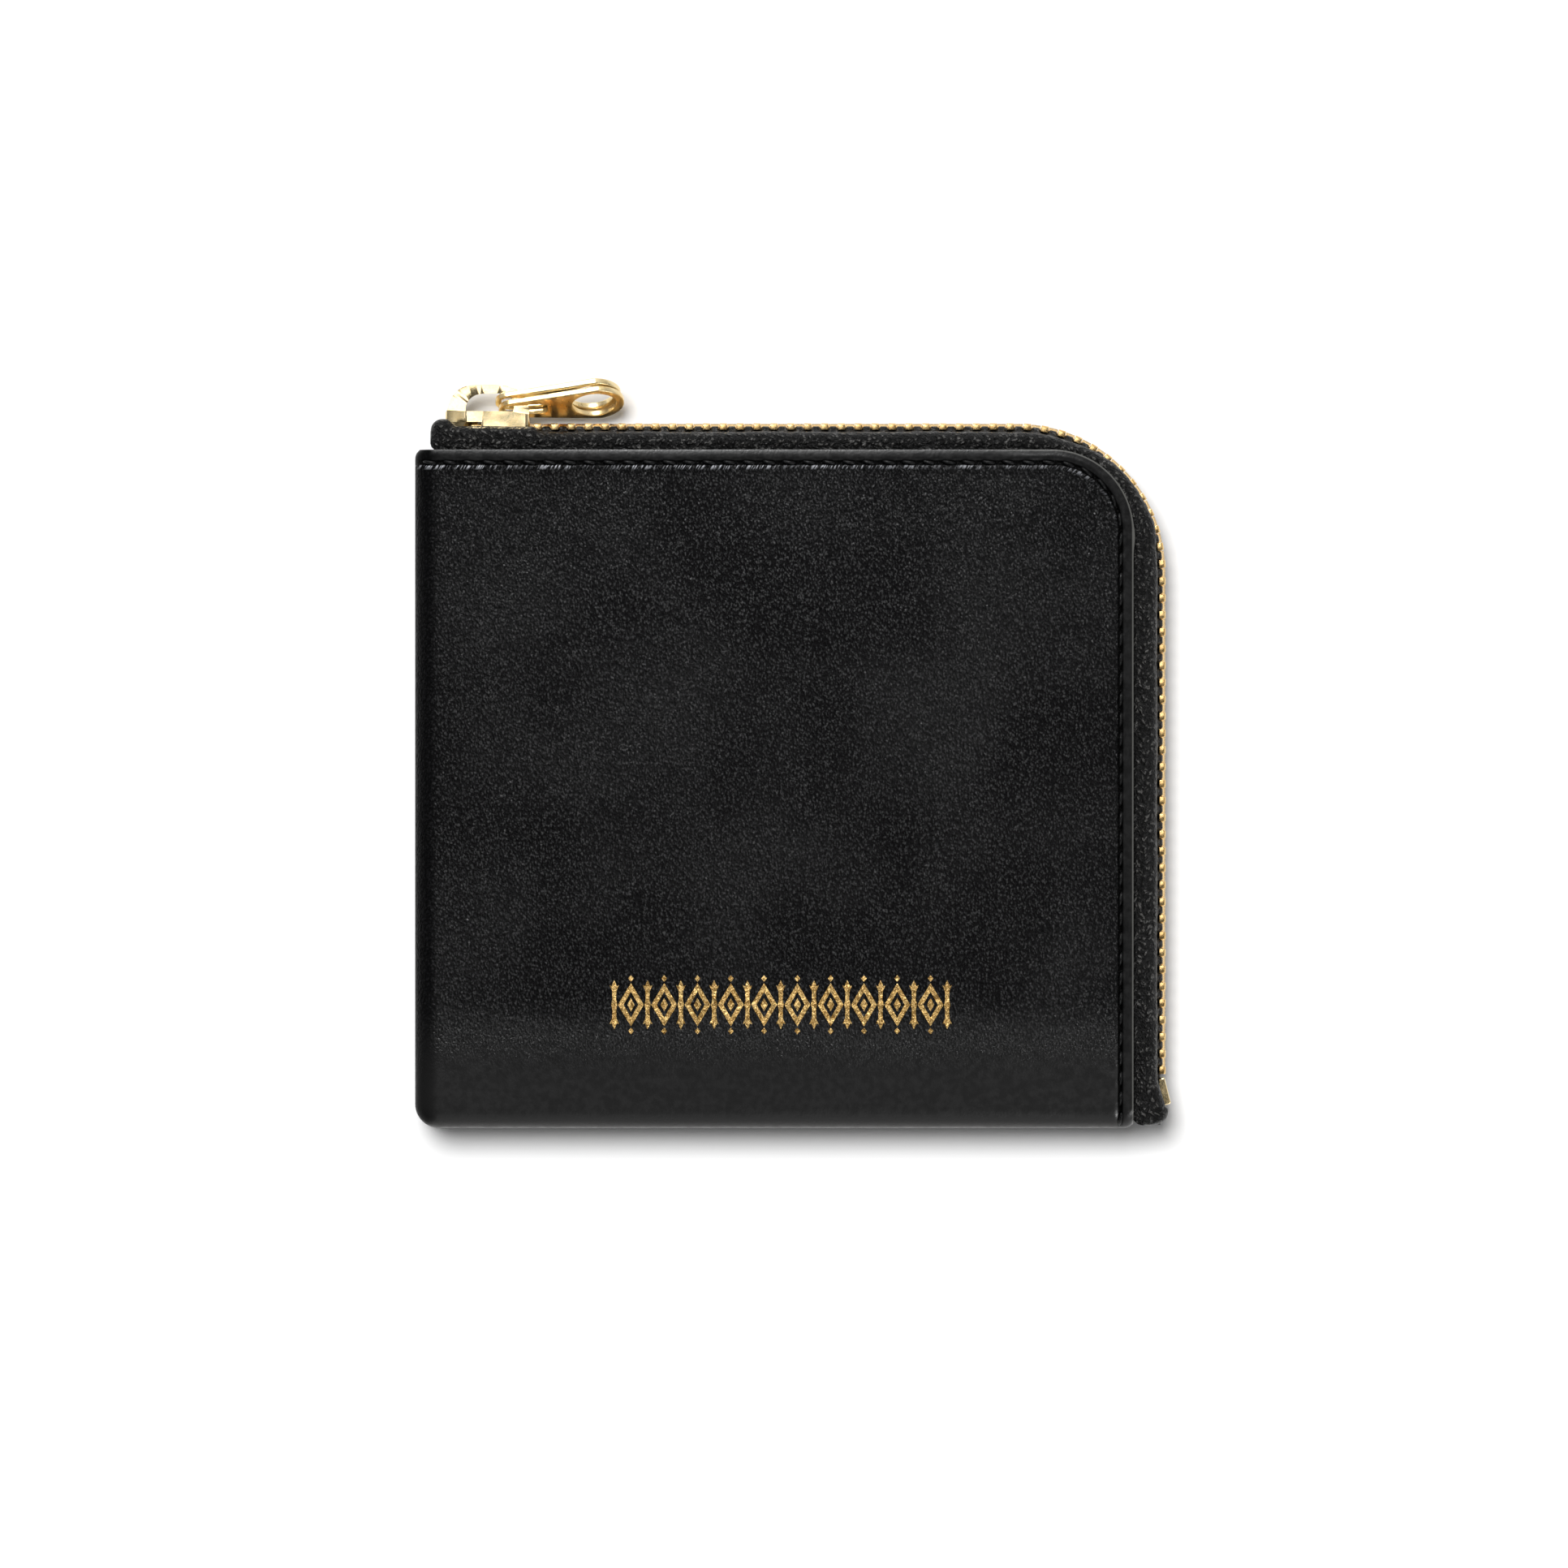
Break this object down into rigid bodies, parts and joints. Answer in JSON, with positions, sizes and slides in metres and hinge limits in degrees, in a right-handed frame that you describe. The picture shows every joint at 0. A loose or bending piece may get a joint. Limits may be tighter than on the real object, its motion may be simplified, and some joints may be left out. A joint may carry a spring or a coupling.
{
  "type": "zip around wallet",
  "caption": "Small black leather wallet closed by one metal zip round two sides, with card slots, a note space and a zipped coin pocket inside.",
  "frame": {"origin": "middle of the flat back face on which the wallet lies", "axes": "+X along the zipped top edge towards the zipped side, +Y up the wallet to the zipped top edge, +Z out of the front face; at rest the zip is closed and both pull tabs lie along +X"},
  "size_m": [0.1137, 0.1128, 0.0162],
  "materials": {
    "leather": "black grained leather",
    "lining": "black smooth lining leather",
    "tape": "black woven zip tape",
    "teeth": "gold-coloured metal teeth",
    "slider_metal": "polished pale gold plating",
    "thread": "black sewing thread",
    "foil": "hot-stamped gold foil"
  },
  "bodies": {
    "wallet": {"back_panel": "leather", "front_panel": "leather", "back_lining": "lining", "front_lining": "lining", "front_zip_tape": "tape", "back_zip_tape": "tape", "front_teeth": "teeth", "back_teeth": "teeth", "front_top_stop": "teeth", "back_top_stop": "teeth", "bottom_stop": "slider_metal", "card_backing": "lining", "card_slot_1": "lining", "card_slot_2": "lining", "card_slot_3": "lining", "card_slot_4": "lining", "slip_pocket": "lining", "coin_pocket_back": "lining", "coin_pocket_front": "lining", "coin_pocket_gusset": "lining", "coin_tape_front": "tape", "coin_tape_back": "tape", "coin_teeth_front": "teeth", "coin_teeth_back": "teeth", "coin_end_stop": "slider_metal", "front_stitching": "thread", "foil_ornament": "foil"},
    "lip": {"front_lip": "leather", "front_lip_lining": "lining", "lip_stitching": "thread"},
    "slider": {"slider": "slider_metal"},
    "outer_tab": {"pull_tab_outer": "slider_metal"},
    "inner_tab": {"pull_tab_inner": "slider_metal"},
    "coin_slider": {"coin_slider": "slider_metal"},
    "coin_tab": {"coin_pull_tab": "slider_metal"}
  },
  "joints": [
    {"name": "slider_travel", "type": "slide", "parent": "wallet", "child": "slider", "axis": [1, 0, 0], "range_m": [0, 0.07], "deforming": ["front_teeth", "back_teeth", "front_zip_tape", "back_zip_tape"]},
    {"name": "lip_opening", "type": "hinge", "parent": "wallet", "child": "lip", "pos_m": [0, 0, 0.016], "axis": [1, 0, 0], "range_deg": [0, 14]},
    {"name": "outer_tab_swing", "type": "hinge", "parent": "slider", "child": "outer_tab", "pos_m": [-0.04156, 0.05822, 0.008], "axis": [0, 0, 1], "range_deg": [0, 60]},
    {"name": "inner_tab_swing", "type": "hinge", "parent": "slider", "child": "inner_tab", "pos_m": [-0.04156, 0.05822, 0.008], "axis": [0, 0, 1], "range_deg": [0, 60]},
    {"name": "coin_slider_travel", "type": "slide", "parent": "wallet", "child": "coin_slider", "axis": [1, 0, 0], "range_m": [0, 0.076], "deforming": ["coin_teeth_front", "coin_teeth_back"]},
    {"name": "coin_tab_swing", "type": "hinge", "parent": "coin_slider", "child": "coin_tab", "pos_m": [-0.04013, 0.03335, 0.0081], "axis": [0, 0, 1], "range_deg": [0, 110]}
  ],
  "couplings": [
    {"joint": "lip_opening", "follows": "slider_travel", "rad_per_m": 3.49},
    {"joint": "inner_tab_swing", "follows": "outer_tab_swing", "ratio": 1}
  ]
}
